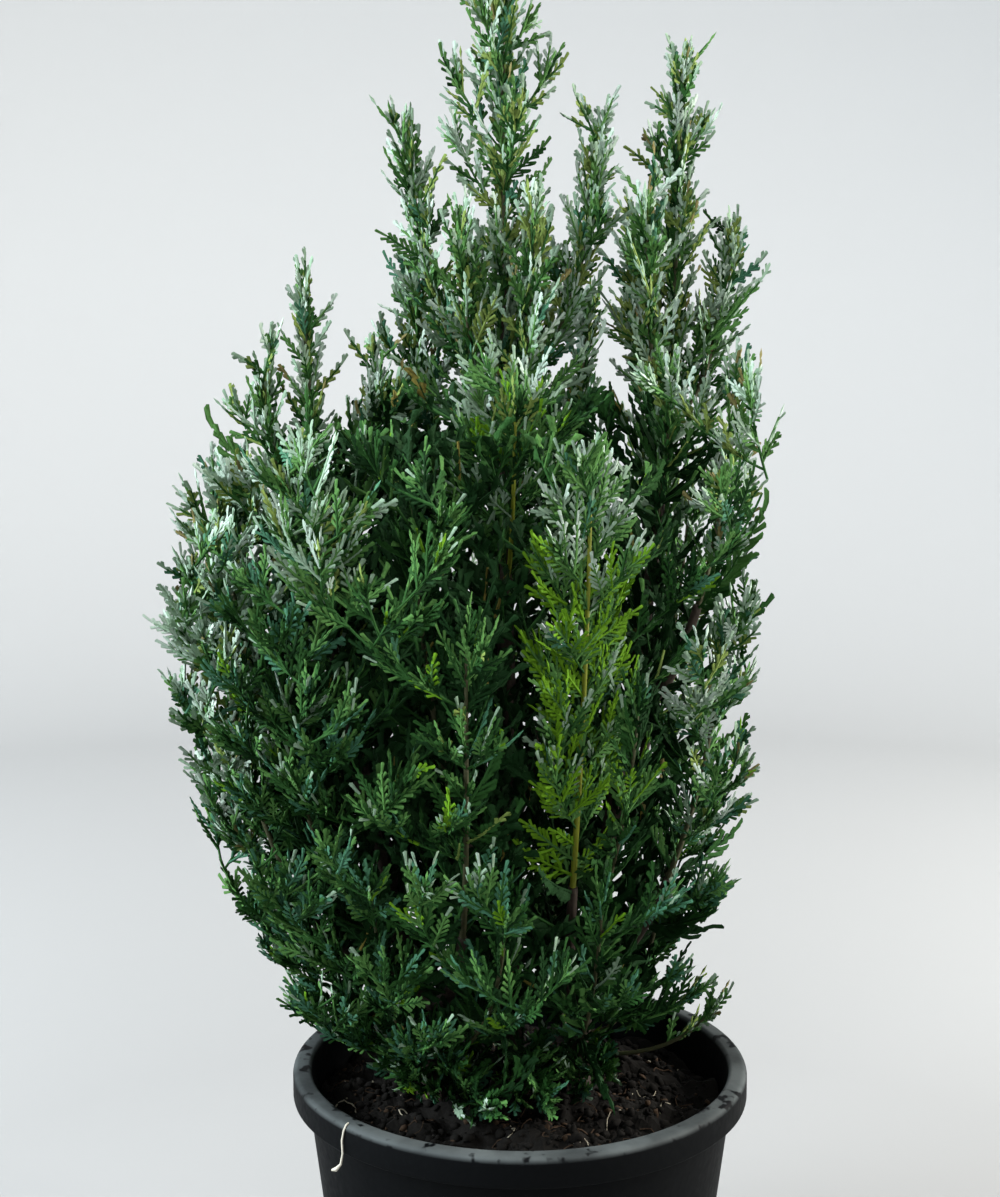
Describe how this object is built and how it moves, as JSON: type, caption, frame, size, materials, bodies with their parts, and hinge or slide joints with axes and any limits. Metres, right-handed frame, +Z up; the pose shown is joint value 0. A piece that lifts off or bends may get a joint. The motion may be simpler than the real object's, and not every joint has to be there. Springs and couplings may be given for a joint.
{
  "type": "potted cypress",
  "caption": "Young upright conifer with several leaders and dense plumes of flat feathery sprays, growing in a round tapered plastic nursery pot filled with compost.",
  "frame": {"origin": "middle of the pot's flat underside", "axes": "+Z up along the pot's axis, +X to the right and +Y away from the viewer of the source picture"},
  "size_m": [0.242, 0.2268, 0.603],
  "materials": {
    "pot_plastic": "black moulded plastic, rim worn to a dull grey sheen",
    "compost": "dark damp peaty compost with crumbs and a few pale bits",
    "bark": "thin brown flaking bark, greener towards the tips",
    "foliage": "matt scale-leaved sprays, grey-green outside and dark inside"
  },
  "bodies": {
    "root": {"bough_back_left": "bark", "bough_back_right": "bark", "bough_front_left": "bark", "bough_front_low": "bark", "bough_front_right": "bark", "bough_left_back": "bark", "bough_left_far": "bark", "bough_left_low": "bark", "bough_right_back": "bark", "bough_right_high": "bark", "bough_right_low": "bark", "plume_back_left": "foliage", "plume_back_right": "foliage", "plume_belt_1": "foliage", "plume_belt_2": "foliage", "plume_belt_3": "foliage", "plume_belt_4": "foliage", "plume_centre_back_1": "foliage", "plume_centre_left_1": "foliage", "plume_front_left": "foliage", "plume_front_low": "foliage", "plume_front_right": "foliage", "plume_left_back": "foliage", "plume_left_far": "foliage", "plume_left_low": "foliage", "plume_left_top": "foliage", "plume_left_upper_1": "foliage", "plume_left_upper_2": "foliage", "plume_main_collar_1": "foliage", "plume_main_collar_2": "foliage", "plume_main_collar_3": "foliage", "plume_main_collar_4": "foliage", "plume_main_front_1": "foliage", "plume_main_top": "foliage", "plume_main_upper_1": "foliage", "plume_main_upper_2": "foliage", "plume_right_back": "foliage", "plume_right_collar_1": "foliage", "plume_right_collar_2": "foliage", "plume_right_high": "foliage", "plume_right_low": "foliage", "plume_right_top": "foliage", "plume_right_upper_1": "foliage", "plume_right_upper_2": "foliage", "plume_right_upper_3": "foliage", "plume_skirt_1": "foliage", "plume_skirt_2": "foliage", "plume_skirt_3": "foliage", "plume_skirt_4": "foliage", "plume_skirt_5": "foliage", "plume_skirt_6": "foliage", "plume_skirt_7": "foliage", "plume_skirt_8": "foliage", "plume_skirt_9": "foliage", "plume_sprig_1": "foliage", "pot": "pot_plastic", "soil": "compost", "stem_left": "bark", "stem_main": "bark", "stem_right": "bark"}
  },
  "joints": []
}
